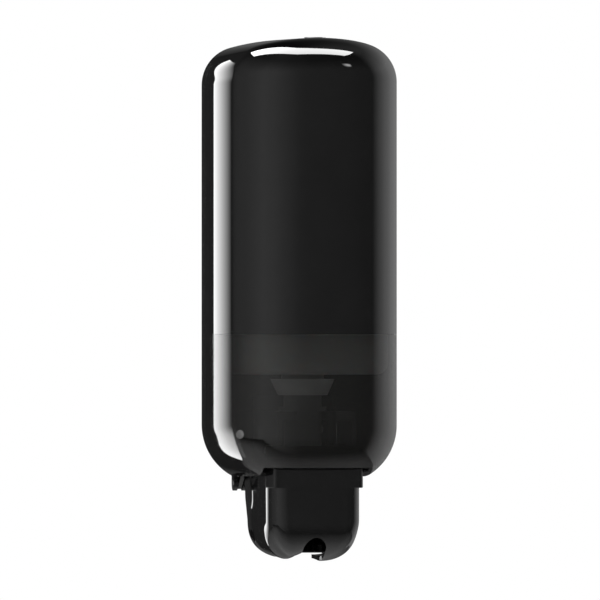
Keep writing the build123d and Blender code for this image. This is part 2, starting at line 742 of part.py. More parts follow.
nose_top = LIFT_FLANGE_TOP - LIFT_FLANGE - LIFT_GAP
nose_z = nose_top - LIFT_NOSE
with BuildPart() as push_lever:
    add(lever_form(0, 0, 0))
    add(band_prism(0, BAND_REAR_DEPTH, BAND_LOW, BAND_TOP))
    add(band_prism(BAND_PROUD, CHEEK_REAR_DEPTH, BAND_TOP, CHEEK_TOP))
    add(lever_form(LEVER_WALL, open_run, open_run), mode=Mode.SUBTRACT)
    add(
        band_prism(BAND_PROUD + LEVER_WALL, BAND_REAR_DEPTH - open_run, BAND_LOW, CHEEK_TOP),
        mode=Mode.SUBTRACT,
    )
    with BuildPart(mode=Mode.PRIVATE) as lift_ribs:
        rib_outline = [
            (PUMP_DEPTH - LIFT_NOSE, nose_z),
            (PUMP_DEPTH + LIFT_NOSE, nose_z),
            (LIFT_WEB_DEPTH, nose_z - LIFT_WEB_DROP),
            (LEVER_FRONT_DEPTH, nose_z - LIFT_WEB_DROP),
            (LEVER_FRONT_DEPTH, BOWL_LOW_Z),
            (PUMP_DEPTH - LIFT_NOSE, BOWL_LOW_Z),
        ]
        for start_x in (-LIFT_RIB_X - LIFT_RIB_THICKNESS, LIFT_RIB_X):
            add(slab(start_x, start_x + LIFT_RIB_THICKNESS, rib_outline))
            add(rod(LIFT_NOSE, start_x, start_x + LIFT_RIB_THICKNESS, PUMP_DEPTH, nose_z))
        add(lever_form(LEVER_WALL / 2, 0, 0), mode=Mode.INTERSECT)
    add(lift_ribs.part)
    add(rear_lip())
    with BuildSketch(Plane.XY.offset(BOWL_LOW_Z - LEVER_WALL)):
        with Locations((0, -(SLOT_REAR_DEPTH + SLOT_FRONT_DEPTH) / 2)):
            SlotOverall(SLOT_FRONT_DEPTH - SLOT_REAR_DEPTH, 2 * SLOT_HALF_WIDTH, rotation=90)
    extrude(amount=SLOT_TOP - BOWL_LOW_Z + LEVER_WALL, mode=Mode.SUBTRACT)
    pivot_reach = band_half(PIVOT_DEPTH) - BAND_PROUD
    lever_hole = rod(PIVOT_RADIUS + RUN_CLEARANCE, -pivot_reach, pivot_reach, PIVOT_DEPTH, PIVOT_Z)
    add(lever_hole, mode=Mode.SUBTRACT)
save(push_lever, "push_lever")

# Pivot pin of the lever, held in the cradle's side plates
pin_half = band_half(PIVOT_DEPTH) - BAND_PROUD - PIVOT_RECESS
with BuildPart() as lever_pivot_pin:
    add(rod(PIVOT_RADIUS, -pin_half, pin_half, PIVOT_DEPTH, PIVOT_Z))
save(lever_pivot_pin, "lever_pivot_pin")

# Return spring on the pivot: the sleeve of its turns, a leg under the shelf and a leg towards the front
leg_rear = PIVOT_DEPTH - COIL_RADIUS
leg_tip = LEVER_FRONT_DEPTH - LEVER_WALL - COIL_WIRE - COIL_LEG_GAP
with BuildPart() as lever_return_spring:
    add(rod(COIL_RADIUS, COIL_START_X, COIL_END_X, PIVOT_DEPTH, PIVOT_Z))
    add(
        rod(PIVOT_RADIUS + COIL_CLEARANCE, COIL_START_X, COIL_END_X, PIVOT_DEPTH, PIVOT_Z),
        mode=Mode.SUBTRACT,
    )
    add(
        slab(
            COIL_START_X,
            COIL_START_X + COIL_WIRE,
            [
                (leg_rear, PIVOT_Z),
                (leg_rear + COIL_WIRE, PIVOT_Z),
                (leg_rear + COIL_WIRE, shelf_low - COIL_LEG_GAP),
                (leg_rear, shelf_low - COIL_LEG_GAP),
            ],
        )
    )
    leg_low = PIVOT_Z - COIL_RADIUS
    add(
        slab(
            COIL_END_X - COIL_WIRE,
            COIL_END_X,
            [
                (PIVOT_DEPTH, leg_low),
                (leg_tip, leg_low),
                (leg_tip, leg_low + COIL_WIRE),
                (PIVOT_DEPTH, leg_low + COIL_WIRE),
            ],
        )
    )
save(lever_return_spring, "lever_return_spring")


# Cover: one shell in two shots, opaque above and smoked below, hinged under its rim
def cover_shell():
    """Shell of the whole cover in front of the seam, with the mouth for the lever."""
    with BuildPart() as shell:
        add(case_form(0))
        split(bisect_by=Plane.XZ.offset(SEAM_DEPTH + SEAM_GAP), keep=Keep.TOP)
        add(case_form(CASE_WALL), mode=Mode.SUBTRACT)
        mouth_low = CASE_RIM - MOUTH_CORNER
        with BuildSketch(Plane.XZ):
            with Locations((0, (MOUTH_TOP + mouth_low) / 2)):
                mouth = Rectangle(2 * mouth_half, MOUTH_TOP - mouth_low)
            fillet(mouth.vertices().group_by(Axis.Y)[-1], radius=MOUTH_CORNER)
        extrude(amount=CASE_DEPTH, mode=Mode.SUBTRACT)
    return shell.part


lock_top = CASE_TOP - DISH_DEPTH
with BuildPart() as front_cover:
    add(cover_shell())
    split(bisect_by=Plane.XY.offset(WINDOW_TOP), keep=Keep.TOP)
    with BuildSketch(Plane.XY.offset(lock_top)):
        with Locations((0, -lock_depth)):
            Ellipse(DISH_HALF_LENGTH, DISH_HALF_WIDTH)
    extrude(amount=2 * DISH_DEPTH, mode=Mode.SUBTRACT)
    add(
        post(LOCK_HOUSING_RADIUS + SEAT_CLEARANCE, CASE_TOP - 2 * CASE_WALL, CASE_TOP, lock_depth),
        mode=Mode.SUBTRACT,
    )
save(front_cover, "front_cover")

cover_edge = SEAM_DEPTH + SEAM_GAP
lug_top = HINGE_Z + LUG_RADIUS
lug_outline = [
    (HINGE_DEPTH, lug_top),
    (cover_edge, lug_top),
    (cover_edge, CASE_RIM + LUG_ROOT),
    (LUG_WEB_DEPTH, CASE_RIM + LUG_ROOT),
    (LUG_WEB_DEPTH, CASE_RIM),
    (HINGE_DEPTH + LUG_RADIUS / 2, HINGE_Z - LUG_RADIUS * cos(radians(30))),
    (HINGE_DEPTH, HINGE_Z),
]
with BuildPart() as cover_window:
    add(cover_shell())
    split(bisect_by=Plane.XY.offset(WINDOW_TOP), keep=Keep.BOTTOM)
    for side in (-1, 1):
        ends = sorted((side * lug_x[0], side * lug_x[1]))
        add(slab(ends[0], ends[1], lug_outline))
        add(rod(LUG_RADIUS, ends[0], ends[1], HINGE_DEPTH, HINGE_Z))
        lug_hole = rod(HINGE_PIN_RADIUS + RUN_CLEARANCE, ends[0], ends[1], HINGE_DEPTH, HINGE_Z)
        add(lug_hole, mode=Mode.SUBTRACT)
save(cover_window, "cover_window")

# Key lock: housing through the dish, nut below the wall, barrel, cam with an upturned tip and its screw
barrel_top = lock_top + BARREL_PROUD
with BuildPart() as lock_housing:
    add(post(LOCK_HOUSING_RADIUS, LOCK_HOUSING_LOW, lock_top, lock_depth))
    add(post(LOCK_FLANGE_RADIUS, lock_top, lock_top + LOCK_FLANGE, lock_depth))
    add(
        post(BARREL_RADIUS + RUN_CLEARANCE, LOCK_HOUSING_LOW, lock_top + LOCK_FLANGE, lock_depth),
        mode=Mode.SUBTRACT,
    )
save(lock_housing, "lock_housing")

nut_top = CASE_TOP - CASE_WALL - NUT_SAG
with BuildPart() as lock_nut:
    with BuildSketch(Plane.XY.offset(nut_top - NUT_HEIGHT)):
        with Locations((0, -lock_depth)):
            RegularPolygon(NUT_RADIUS, 6)
            Circle(LOCK_HOUSING_RADIUS + PIN_CLEARANCE, mode=Mode.SUBTRACT)
    extrude(amount=NUT_HEIGHT)
save(lock_nut, "lock_nut")

screw_end = BARREL_LOW + CAM_SCREW_DEPTH
with BuildPart() as lock_barrel:
    add(post(BARREL_RADIUS, BARREL_LOW, barrel_top, lock_depth))
    with BuildSketch(Plane.XY.offset(barrel_top - KEY_SLOT_DEPTH)):
        with Locations((0, -lock_depth)):
            Rectangle(KEY_SLOT_LENGTH, KEY_SLOT_WIDTH)
    extrude(amount=KEY_SLOT_DEPTH, mode=Mode.SUBTRACT)
    add(post(screw_hole, BARREL_LOW, screw_end, lock_depth), mode=Mode.SUBTRACT)
save(lock_barrel, "lock_barrel")

cam_low = BARREL_LOW - CAM_THICKNESS
with BuildPart() as lock_cam:
    add(post(BARREL_RADIUS, cam_low, cam_high, lock_depth))
    with BuildSketch(Plane.XY.offset(cam_low)):
        with Locations((CAM_REACH / 2, -lock_depth)):
            Rectangle(CAM_REACH, 2 * CAM_HALF_WIDTH)
    extrude(amount=CAM_THICKNESS)
    with BuildSketch(Plane.XY.offset(cam_high)):
        with Locations((CAM_REACH - CAM_TIP / 2, -lock_depth)):
            Rectangle(CAM_TIP, 2 * CAM_HALF_WIDTH)
    extrude(amount=CAM_TIP_RISE)
    add(post(screw_hole, cam_low, cam_high, lock_depth), mode=Mode.SUBTRACT)
save(lock_cam, "lock_cam")

with BuildPart() as lock_cam_screw:
    add(post(SCREW_RADIUS, cam_low, screw_end - SEAT_CLEARANCE, lock_depth))
    add(post(SCREW_HEAD_RADIUS, cam_low - SCREW_HEAD, cam_low, lock_depth))
save(lock_cam_screw, "lock_cam_screw")
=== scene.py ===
import math

import bmesh
import bpy
import numpy as np
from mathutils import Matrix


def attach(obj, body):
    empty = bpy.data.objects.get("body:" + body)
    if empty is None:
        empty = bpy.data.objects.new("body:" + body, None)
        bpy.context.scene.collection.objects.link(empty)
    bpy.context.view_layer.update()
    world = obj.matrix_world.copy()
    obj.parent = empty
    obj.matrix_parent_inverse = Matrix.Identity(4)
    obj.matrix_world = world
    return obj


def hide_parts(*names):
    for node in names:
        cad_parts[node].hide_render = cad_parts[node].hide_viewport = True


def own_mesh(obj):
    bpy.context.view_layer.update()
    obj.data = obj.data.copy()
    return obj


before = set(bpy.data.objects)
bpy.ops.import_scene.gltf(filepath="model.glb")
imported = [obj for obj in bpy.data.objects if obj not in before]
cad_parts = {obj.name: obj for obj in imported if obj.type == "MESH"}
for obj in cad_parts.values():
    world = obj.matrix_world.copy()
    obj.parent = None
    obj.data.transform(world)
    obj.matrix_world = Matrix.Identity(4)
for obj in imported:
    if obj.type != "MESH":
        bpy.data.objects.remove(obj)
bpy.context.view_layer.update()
MM = 0.001


# Back plate: a shallow tray of black plastic with a fine spark texture, screwed flat to the wall.
# It carries the hinge ears under its rim, and its edge shows beside the cover as a thin strip.
def new_finish(name):
    """A node material: the material, its node tree, its shader and the Object coordinates."""
    material = bpy.data.materials.new(name)
    material.use_nodes = True
    tree = material.node_tree
    place = tree.nodes.new("ShaderNodeTexCoord")
    return material, tree, tree.nodes["Principled BSDF"], place.outputs["Object"]


def grain(tree, coordinates, scale, detail, low, high):
    """Noise of a given scale whose middle range is spread between a low and a high value."""
    noise = tree.nodes.new("ShaderNodeTexNoise")
    noise.inputs["Scale"].default_value = scale
    noise.inputs["Detail"].default_value = detail
    tree.links.new(coordinates, noise.inputs["Vector"])
    spread = tree.nodes.new("ShaderNodeMapRange")
    spread.inputs["From Min"].default_value = 0.3
    spread.inputs["From Max"].default_value = 0.7
    spread.inputs["To Min"].default_value = low
    spread.inputs["To Max"].default_value = high
    tree.links.new(noise.outputs["Fac"], spread.inputs["Value"])
    return spread.outputs["Result"]


def two_tones(tree, factor, dark, light):
    """Colour that runs from one tone to another with a factor."""
    mix = tree.nodes.new("ShaderNodeMix")
    mix.data_type = "RGBA"
    mix.inputs["A"].default_value = (*dark, 1)
    mix.inputs["B"].default_value = (*light, 1)
    tree.links.new(factor, mix.inputs["Factor"])
    return mix.outputs["Result"]


def relief(tree, shader, height, strength):
    """Bump of a tenth of a millimetre, scaled by a strength, on a shader's normal."""
    bump = tree.nodes.new("ShaderNodeBump")
    bump.inputs["Strength"].default_value = strength
    bump.inputs["Distance"].default_value = 0.1 * MM
    tree.links.new(height, bump.inputs["Height"])
    tree.links.new(bump.outputs["Normal"], shader.inputs["Normal"])


def finish_of(name, dark, light, rough, bump_scale, bump, metal=0.0, **sockets):
    """A finish of two close tones, with roughness that wanders a little and a fine relief."""
    material, tree, shader, place = new_finish(name)
    tone = two_tones(tree, grain(tree, place, 60, 3, 0, 1), dark, light)
    tree.links.new(tone, shader.inputs["Base Color"])
    tree.links.new(grain(tree, place, 25, 2, rough[0], rough[1]), shader.inputs["Roughness"])
    relief(tree, shader, grain(tree, place, bump_scale, 2, 0, 1), bump)
    shader.inputs["Metallic"].default_value = metal
    for socket, value in sockets.items():
        shader.inputs[socket.replace("_", " ")].default_value = value
    return material


def paint(material, *nodes):
    """Give a finish to CAD pieces."""
    for name in nodes:
        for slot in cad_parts[name].material_slots:
            slot.material = material


plate_plastic = finish_of("plate_plastic", (0.004,) * 3, (0.006,) * 3, (0.06, 0.09), 900, 0.02)
paint(plate_plastic, "back_plate")


# Pump cradle: a grey moulded shelf on the back plate with a slot that takes the refill's collar.
# It is held by four steel screws, and it carries the lever's pivot pin in its two side plates.
cradle_plastic = finish_of("cradle_plastic", (0.035,) * 3, (0.05,) * 3, (0.4, 0.55), 900, 0.2)
screw_steel = finish_of("screw_steel", (0.38, 0.39, 0.4), (0.5, 0.51, 0.52), (0.28, 0.4), 400, 0.1, 1.0)
pin_steel = finish_of("pin_steel", (0.5, 0.5, 0.51), (0.6, 0.6, 0.61), (0.18, 0.28), 300, 0.05, 1.0)
bracket_steel = finish_of("bracket_steel", (0.42, 0.42, 0.41), (0.52, 0.52, 0.5), (0.3, 0.45), 350, 0.15, 1.0)
paint(cradle_plastic, "pump_cradle")
paint(screw_steel, "cradle_screws", "keeper_screws", "lock_nut", "lock_cam_screw")
paint(pin_steel, "hinge_pin_left", "hinge_pin_right", "lever_pivot_pin")
paint(bracket_steel, "lock_keeper", "lock_cam")


# Refill: a blown bottle of milky plastic with its collar, and the pump that hangs from its neck.
# The pump's parts are white and grey mouldings, its piston and valves are rubber, its ball is steel.
bottle_milk = finish_of(
    "bottle_milk", (0.38, 0.38, 0.36), (0.4, 0.4, 0.38), (0.3, 0.4), 120, 0.1, Subsurface_Weight=0.3,
    Subsurface_Scale=0.004,
)
pump_white = finish_of("pump_white", (0.66, 0.66, 0.65), (0.74, 0.74, 0.73), (0.3, 0.42), 300, 0.08)
pump_grey = finish_of("pump_grey", (0.2,) * 3, (0.24,) * 3, (0.35, 0.45), 300, 0.08)
rubber = finish_of("rubber", (0.02,) * 3, (0.03,) * 3, (0.6, 0.75), 500, 0.2)
piston_rubber = finish_of("piston_rubber", (0.04,) * 3, (0.055,) * 3, (0.55, 0.7), 500, 0.2)
ball_steel = finish_of("ball_steel", (0.6,) * 3, (0.66,) * 3, (0.08, 0.14), 300, 0.02, 1.0)
paint(bottle_milk, "soap_bottle")
paint(pump_white, "bottle_collar", "pump_nozzle")
paint(pump_grey, "pump_chamber", "pump_cap")
paint(rubber, "bottle_seal", "outlet_valve")
paint(piston_rubber, "pump_piston")
paint(ball_steel, "inlet_valve_ball")


# Springs: round steel wire wound in open turns, one in the pump and one on the lever's pivot.
# In the pump the spring shortens with the stroke; here it is wound between two fixed heights, and the pivot's
# has one leg up and one to the front.
PUMP_DEPTH = 36.0
PUMP_SPRING = {"mean": 6.3, "wire": 0.75, "low": -102.2, "high": -78.8, "turns": 7.0}
PIVOT_DEPTH, PIVOT_Z = 76.0, -113.0
PIVOT_SPRING = {"mean": 3.3, "wire": 0.55, "start": 13.1, "end": 18.4, "turns": 4.25}


def surface(name, grids, material, hole=None):
    """Object from grids of points given as x, depth and z in millimetres.

    Rows run from left to right and columns upwards as seen from outside, and each cell is a quad.
    Points that coincide are welded, which closes seams and poles.  A hole drops the cells whose
    middle lies within a radius of an upright axis."""
    corners, cells, start = [], [], 0
    for grid in grids:
        rows, columns = grid.shape[:2]
        index = start + np.arange(rows * columns).reshape(rows, columns)
        quad = np.stack([index[:-1, :-1], index[1:, :-1], index[1:, 1:], index[:-1, 1:]], axis=-1)
        cells.append(quad.reshape(-1, 4))
        corners.append(grid.reshape(-1, 3))
        start += rows * columns
    points, faces = np.concatenate(corners), np.concatenate(cells)
    if hole:
        middle = points[faces].mean(axis=1)
        inside = np.hypot(middle[:, 0] - hole["x"], middle[:, 1] - hole["depth"]) < hole["radius"]
        faces = faces[~(inside & (middle[:, 2] > hole["above"]))]
    used, places = np.unique(faces, return_inverse=True)
    points = points[used] * np.array([1, -1, 1]) * MM
    faces = places.reshape(faces.shape)
    mesh = bpy.data.meshes.new(name)
    mesh.from_pydata(points.tolist(), [], faces.tolist())
    weld = bmesh.new()
    weld.from_mesh(mesh)
    bmesh.ops.remove_doubles(weld, verts=weld.verts, dist=0.002 * MM)
    weld.to_mesh(mesh)
    weld.free()
    mesh.shade_smooth()
    mesh.materials.append(material)
    piece = bpy.data.objects.new(name, mesh)
    bpy.context.scene.collection.objects.link(piece)
    return piece


def tube(path, radius, sides=10):
    """Grid of a round wire along a path: ring = point + radius (cos a, sin a) on two cross axes.

    The cross axes come from the path's tangent and the direction that is least along the path.
    Each end is drawn to a point, so that the wire is closed."""
    tangent = np.gradient(path, axis=0)
    tangent /= np.linalg.norm(tangent, axis=1, keepdims=True)
    least = np.eye(3)[np.argmin(np.abs(tangent).sum(axis=0))]
    first = np.cross(tangent, least)
    first /= np.linalg.norm(first, axis=1, keepdims=True)
    second = np.cross(tangent, first)
    turn = np.linspace(0, 2 * np.pi, sides + 1)
    rings = path[:, None] + radius * (
        np.cos(turn)[None, :, None] * first[:, None] + np.sin(turn)[None, :, None] * second[:, None]
    )
    rings[:, -1] = rings[:, 0]
    ends = [np.repeat(path[end][None, None], sides + 1, axis=1) for end in (0, -1)]
    return np.concatenate([ends[0], rings, ends[1]])


spring_steel = finish_of("spring_steel", (0.45, 0.45, 0.46), (0.58, 0.58, 0.59), (0.2, 0.3), 500, 0.05, 1.0)
wind = np.linspace(0, 2 * np.pi * PUMP_SPRING["turns"], 260)
pump_path = np.stack([
    PUMP_SPRING["mean"] * np.cos(wind),
    PUMP_DEPTH + PUMP_SPRING["mean"] * np.sin(wind),
    np.interp(wind, [wind[0], wind[-1]], [PUMP_SPRING["low"], PUMP_SPRING["high"]]),
], axis=1)
pump_coil = surface("pump_coil", [tube(pump_path, PUMP_SPRING["wire"])], spring_steel)
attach(pump_coil, "chassis")
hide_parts("pump_spring")
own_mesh(pump_coil)

LEG_TOP, LEG_TIP = -92.4, 81.6
wind = np.pi + np.linspace(0, 2 * np.pi * PIVOT_SPRING["turns"], 170)
coil = np.stack([
    np.interp(wind, [wind[0], wind[-1]], [PIVOT_SPRING["start"], PIVOT_SPRING["end"]]),
    PIVOT_DEPTH + PIVOT_SPRING["mean"] * np.cos(wind),
    PIVOT_Z + PIVOT_SPRING["mean"] * np.sin(wind),
], axis=1)
rise = np.linspace(1, 0, 16, endpoint=False)[:, None]
leg_up = coil[0] + rise * np.array([0, 0, LEG_TOP - PIVOT_Z])
leg_out = coil[-1] + rise[::-1] * np.array([0, LEG_TIP - PIVOT_DEPTH, 0])
pivot_path = np.concatenate([leg_up, coil, leg_out])
pivot_coil = surface("pivot_coil", [tube(pivot_path, PIVOT_SPRING["wire"])], spring_steel)
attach(pivot_coil, "chassis")
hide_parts("lever_return_spring")


# Push lever: a hood of gloss black plastic with a proud band, a hollowed front and a slotted bowl.
# It is one moulding, open at the rear, and it swings on the pivot pin between its two cheeks.
LEVER_WALL = 2.2
LEVER_REAR, LEVER_REAR_HALF = 20.0, 28.7
LEVER_FRONT, LEVER_FRONT_HALF = 85.6, 25.3
LEVER_CORNER = 9.0
LEVER_TOP, CREASE = -119.0, -147.9
LEVER_HOLLOW = 0.5
BOWL_LOW, BOWL_MIDDLE = -171.6, 52.0
BOWL_REAR, BOWL_REAR_LOW = 29.0, -170.2
BOWL_POWER = {"side": 2.7, "front": 1.95, "from": 60.0, "run": 17.0}
SLOT_HALF, SLOT_REAR, SLOT_FRONT = 6.4, 22.0, 82.4
LIP_CURL, LIP_REACH = {"left": 4.8, "right": 0.4}, 9.0
REAR_LIP_TOP = -154.0
NOTCH_TOP, NOTCH_MIDDLE, NOTCH_HALF = -166.7, 4.0, 10.4
BAND = {"out": 2.2, "in": -1.2, "rear": 73.0, "low": -129.6, "high": -117.5, "corner": 3.0, "edge": 0.5}
CHEEK = {"out": 0.0, "in": -2.2, "rear": 66.0, "low": -118.5, "high": -106.0, "corner": 4.7, "edge": 0.3}
RIB_X, RIB_THICK = 8.6, 2.0
NOSE_Z, NOSE_RADIUS = -134.8, 4.0
DRAW_DEPTH, DRAW_RADIUS = 66.0, 90.0
FRONT_BOW = 1.5
FLARE_OUT, FLARE_RUN = 2.0, (3.5, 11.0)
FLARE_FULL, FLARE_END = -136.0, -168.0
taper = (LEVER_REAR_HALF - LEVER_FRONT_HALF) / (LEVER_FRONT - LEVER_REAR)


def hood_half(depth):
    """Half width of the hood at a depth: a straight taper that draws in along an arc at the front."""
    drawn = np.maximum(depth - DRAW_DEPTH, 0)
    return LEVER_FRONT_HALF + taper * (LEVER_FRONT - depth) - drawn**2 / (2 * DRAW_RADIUS)


def hood_plan(rear, out, corner, counts):
    """Half plan of the hood from a rear depth to the middle of its front, moved outwards by out.

    The tapering side meets an arc, and the arc meets the front, which bows by the square of x.
    Gives the points, the outward normals, and a share that is 0 on the side and 1 on the front."""
    front = LEVER_FRONT + out
    middle_depth = front - corner
    lean = math.atan(taper + (middle_depth - DRAW_DEPTH) / DRAW_RADIUS)
    middle_x = hood_half(middle_depth) + (out - corner) / math.cos(lean)
    turn = np.linspace(lean, np.pi / 2, counts[1])
    arc = np.stack([middle_x + corner * np.cos(turn), middle_depth + corner * np.sin(turn)], axis=1)
    depth = np.linspace(rear, arc[0, 1], counts[0], endpoint=False)
    side = np.stack([hood_half(depth) + out, depth], axis=1)
    across = np.linspace(middle_x, 0, counts[2])[1:]
    face = np.stack([across, np.full_like(across, front)], axis=1)
    slope = np.arctan(taper + np.maximum(depth - DRAW_DEPTH, 0) / DRAW_RADIUS)
    angle = np.concatenate([slope, turn, np.full(counts[2] - 1, np.pi / 2)])
    share = np.clip((angle - lean) / (np.pi / 2 - lean), 0, 1)
    plan = np.concatenate([side, arc, face])
    plan[:, 1] -= FRONT_BOW * share * (plan[:, 0] / LEVER_FRONT_HALF) ** 2
    return plan, np.stack([np.cos(angle), np.sin(angle)], axis=1), share


def both_sides(half):
    """Whole grid from its right half, which ends in the middle: the mirrored half comes first."""
    mirrored = half * np.array([-1, 1, 1])
    return np.concatenate([mirrored, half[-2::-1]])


def smooth(value):
    """Step from 0 to 1 with level ends: 3 v v - 2 v v v on the clipped value."""
    clipped = np.clip(value, 0, 1)
    return clipped * clipped * (3 - 2 * clipped)


def slot_distance(x, depth):
    """Distance in plan from the outlet slot's edge, which is a straight slot with round ends."""
    along = np.clip(depth, SLOT_REAR + SLOT_HALF, SLOT_FRONT - SLOT_HALF)
    return np.hypot(x, depth - along) - SLOT_HALF


def hood_shell():
    """Outer skin of the hood: upright walls down to the crease, then the bowl down to the slot.

    Wall: plan point - hollow x front share x 4 q (1 - q), with q the way down the wall.
    Bowl: plan point drawn towards the middle line by 1 - cos^e g, and lowered by drop x sin^e g,
    with g from 0 to where the slot is met, and e = 2 / power, less on the side than on the front.
    The rear edge flares outwards by the square of the nearness to it, fading down the wall.
    Beside the slot the skin curls up again by the nearness to it to the power 1.5, far on the left
    and hardly on the right.  A low wall closes the bowl's rear edge: it rises from the edge, or from
    the top of the notch, in the slanting plane of the hood's rear."""
    plan, normal, share = hood_plan(LEVER_REAR, 0.0, LEVER_CORNER, (46, 22, 16))
    way = np.linspace(0, 1, 18)
    rear_run = (BOWL_REAR - LEVER_REAR) / (LEVER_TOP - BOWL_REAR_LOW)
    side_end = plan[share == 0][-1, 1]
    lag = np.clip((side_end - plan[:, 1]) / (side_end - LEVER_REAR), 0, 1) * (share == 0)
    high = LEVER_TOP + (CREASE - LEVER_TOP) * way
    sink = LEVER_HOLLOW * 4 * way * (1 - way)
    hollow = normal[:, None] * (share[:, None] * sink)[..., None]
    depth = plan[:, 1, None] + lag[:, None] * rear_run * (LEVER_TOP - high) - hollow[..., 1]
    x = plan[:, 0, None] - taper * (depth - plan[:, 1, None]) * (share == 0)[:, None] - hollow[..., 0]
    run = FLARE_RUN[0] + (FLARE_RUN[1] - FLARE_RUN[0]) * smooth((high - FLARE_FULL) / 8 + 1)
    rearmost = np.clip(1 - (plan[:, 1, None] - LEVER_REAR) / run, 0, 1) ** 2
    x = x + FLARE_OUT * rearmost * np.clip((high - FLARE_END) / (FLARE_FULL - FLARE_END), 0, 1)
    wall = np.stack([x, depth, np.broadcast_to(high, x.shape)], axis=-1)
    foot = wall[:, -1]
    aim = np.minimum(foot[:, 1], BOWL_MIDDLE)
    drop = CREASE - BOWL_LOW - (BOWL_REAR_LOW - BOWL_LOW) * np.clip(
        (BOWL_MIDDLE - foot[:, 1]) / (BOWL_MIDDLE - BOWL_REAR), 0, 1
    )
    trial = np.linspace(0, 1, 800)
    path_x = foot[:, 0, None] * (1 - trial)
    path_depth = foot[:, 1, None] + (aim - foot[:, 1])[:, None] * trial + (lag * rear_run * drop)[:, None]
    met = slot_distance(path_x, path_depth) <= 0
    reach = np.where(met.any(axis=1), trial[np.argmax(met, axis=1)], 1.0)
    eased = smooth((foot[:, 1] - BOWL_POWER["from"]) / BOWL_POWER["run"])
    power = BOWL_POWER["side"] + (BOWL_POWER["front"] - BOWL_POWER["side"]) * eased
    last = np.arccos((1 - reach) ** (power / 2))
    swing = last[:, None] * np.linspace(0, 1, 34)[None, 1:] ** 1.25
    inwards = 1 - np.cos(swing) ** (2 / power[:, None])
    down = np.sin(swing) ** (2 / power[:, None])
    z = CREASE - drop[:, None] * down
    x = foot[:, 0, None] * (1 - inwards)
    depth = foot[:, 1, None] + (aim - foot[:, 1])[:, None] * inwards + lag[:, None] * rear_run * (CREASE - z)
    bowl = np.stack([x, depth, z], axis=-1)
    skin = both_sides(np.concatenate([wall, bowl], axis=1)[:, ::-1])
    near = np.clip(1 - slot_distance(skin[..., 0], skin[..., 1]) / LIP_REACH, 0, 1)
    lowness = np.clip((CREASE - skin[..., 2]) / (CREASE - BOWL_LOW), 0, 1)
    leftwards = smooth(0.5 - skin[..., 0] / 4)
    curl = LIP_CURL["right"] + (LIP_CURL["left"] - LIP_CURL["right"]) * leftwards
    skin[..., 2] += curl * near**1.5 * lowness**6
    left, right = (edge[edge[:, 2] < REAR_LIP_TOP - 0.5] for edge in skin[[0, -1]])
    across = np.linspace(SLOT_HALF - 0.8, 0.8 - SLOT_HALF, 9)[:, None]
    notch = across * [1, 0, 0] + [0, LEVER_REAR + rear_run * (LEVER_TOP - NOTCH_TOP), NOTCH_TOP]
    base = np.concatenate([right[::-1], notch, left])
    slant = np.array([0, -rear_run, 1])
    notched = np.abs(base[:, 0] - NOTCH_MIDDLE) < NOTCH_HALF
    base += (np.maximum(NOTCH_TOP - base[:, 2], 0) * notched)[:, None] * slant
    rise = (REAR_LIP_TOP - base[:, 2])[:, None] * np.linspace(0, 1, 8)
    lip = base[:, None] + rise[..., None] * slant
    return [skin, lip]


def hood_bar(bar):
    """Grid of a bar that runs round the hood's front: a rounded rectangle swept along the plan.

    Section: a loop of quarter rounds between the two offsets and the two heights, closed at each
    end of the bar by drawing the loop to its middle."""
    plan, normal, _ = hood_plan(bar["rear"], bar["out"], bar["corner"], (10, 12, 10))
    turn = np.linspace(0, np.pi / 2, 5)
    edge = bar["edge"]
    thick = bar["out"] - bar["in"]
    tall = bar["high"] - bar["low"]
    quarter = [(-edge, tall - edge), (edge - thick, tall - edge), (edge - thick, edge), (-edge, edge)]
    loop = np.concatenate([
        np.stack([a + edge * np.cos(turn + k * np.pi / 2), b + edge * np.sin(turn + k * np.pi / 2)], axis=1)
        for k, (a, b) in enumerate(quarter)
    ])
    loop = np.concatenate([loop, loop[:1]])
    offset = np.broadcast_to(loop[None, :, 0, None] * normal[:, None], (len(plan), len(loop), 2))
    height = np.broadcast_to(bar["low"] + loop[None, :, 1, None], (len(plan), len(loop), 1))
    grid = both_sides(np.concatenate([plan[:, None] + offset, height], axis=2))
    ends = [np.repeat(grid[end, :-1].mean(axis=0)[None, None], len(loop), axis=1) for end in (0, -1)]
    return np.concatenate([ends[0], grid, ends[1]])


def plate(outline, start_x, end_x):
    """Grid of a flat plate: an outline of depth and height between two x, with both faces closed.

    The outline runs anticlockwise as seen from the right, and each face is a fan to its middle."""
    ring = np.concatenate([outline, outline[:1]])[::-1]
    middle = outline.mean(axis=0)
    rows = [(start_x, np.repeat(middle[None], len(ring), axis=0)), (start_x, ring), (end_x, ring)]
    rows.append((end_x, np.repeat(middle[None], len(ring), axis=0)))
    return np.stack([np.column_stack([np.full(len(ring), x), points]) for x, points in rows])


def plate_pair(outline, inner, outer):
    """Two flat plates that mirror each other, between two distances from the middle plane."""
    return [plate(outline, -outer, -inner), plate(outline, inner, outer)]


def soften(piece, wall, edge):
    """Wall thickness inwards from the skin, and a small round on every sharp edge."""
    if wall:
        thick = piece.modifiers.new("wall", "SOLIDIFY")
        thick.thickness = wall * MM
        thick.offset = -1
        thick.use_even_offset = True
    bevel = piece.modifiers.new("edge", "BEVEL")
    bevel.width = edge * MM
    bevel.segments = 3
    bevel.limit_method = "ANGLE"
    bevel.angle_limit = math.radians(40)
    bevel.harden_normals = True


